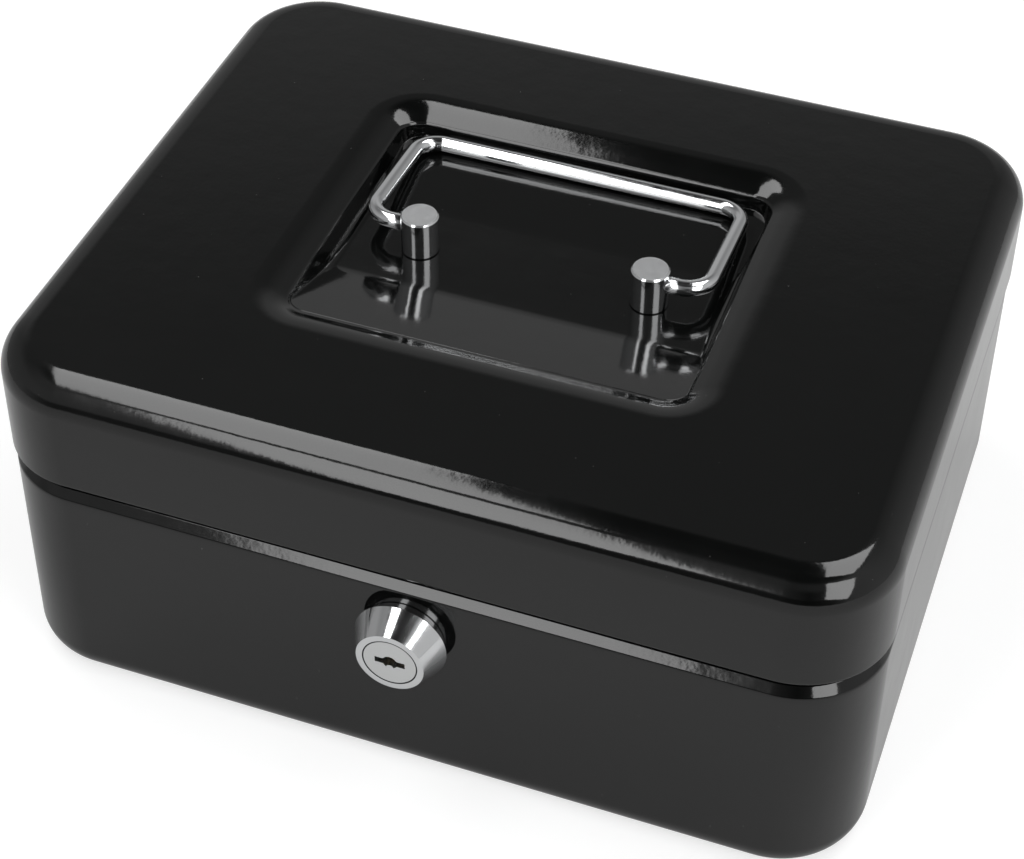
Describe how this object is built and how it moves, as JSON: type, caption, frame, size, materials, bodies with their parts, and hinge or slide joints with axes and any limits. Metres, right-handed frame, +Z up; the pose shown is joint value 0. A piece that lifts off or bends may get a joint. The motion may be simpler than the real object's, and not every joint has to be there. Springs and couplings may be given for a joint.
{
  "type": "cash box",
  "caption": "Pressed-steel cash box with a hinged lid, folding wire handle in a sunken pan, cam lock in the front wall and lift-out coin tray.",
  "frame": {"origin": "middle of the box's depth and width on the ground plane, at the middle of the flat bottom", "axes": "X to the right as seen from the front, Y to the rear, Z up; the lock is at -Y and the hinges at +Y"},
  "size_m": [0.2, 0.1749, 0.0915],
  "materials": {
    "black_enamel": "gloss black stoved enamel on pressed steel",
    "black_hinge": "black enamel over rolled steel",
    "chrome": "bright nickel-chrome plating",
    "zinc_steel": "bright zinc-plated steel",
    "brass": "stamped brass sheet",
    "tray_plastic": "black moulded polystyrene, fine matt grain"
  },
  "bodies": {
    "base": {"base_shell": "black_enamel", "tray_rail_left": "black_enamel", "tray_rail_right": "black_enamel", "lock_washer": "chrome", "lock_housing": "chrome", "lock_nut": "zinc_steel", "hinge_leaf_base_left": "black_hinge", "hinge_leaf_base_right": "black_hinge", "hinge_pin_left": "zinc_steel", "hinge_pin_right": "zinc_steel", "base_hinge_rivets": "zinc_steel"},
    "lid": {"lid_shell": "black_enamel", "lid_catch": "zinc_steel", "catch_stud": "zinc_steel", "hinge_leaf_lid_left": "black_hinge", "hinge_leaf_lid_right": "black_hinge", "lid_hinge_rivets": "zinc_steel", "handle_post_left": "chrome", "handle_post_right": "chrome", "post_screws": "zinc_steel", "post_washers": "zinc_steel"},
    "bail": {"handle_bail": "chrome"},
    "lock_turning": {"lock_plug": "chrome", "lock_wafers": "brass", "lock_cam": "zinc_steel", "cam_washer": "zinc_steel", "cam_screw": "zinc_steel"},
    "tray": {"coin_tray": "tray_plastic"}
  },
  "joints": [
    {"name": "lid_hinge", "type": "hinge", "parent": "base", "child": "lid", "pos_m": [0, 0.0832, 0.06], "axis": [-1, 0, 0], "range_deg": [0, 105]},
    {"name": "bail_swing", "type": "hinge", "parent": "lid", "child": "bail", "pos_m": [0, -0.0003, 0.0881], "axis": [1, 0, 0], "range_deg": [0, 181]},
    {"name": "lock_turn", "type": "hinge", "parent": "base", "child": "lock_turning", "pos_m": [0, -0.0805, 0.045], "axis": [0, 1, 0], "range_deg": [0, 90]},
    {"name": "tray_lift", "type": "slide", "parent": "base", "child": "tray", "axis": [0, 0, 1], "range_m": [0, 0.008]}
  ]
}
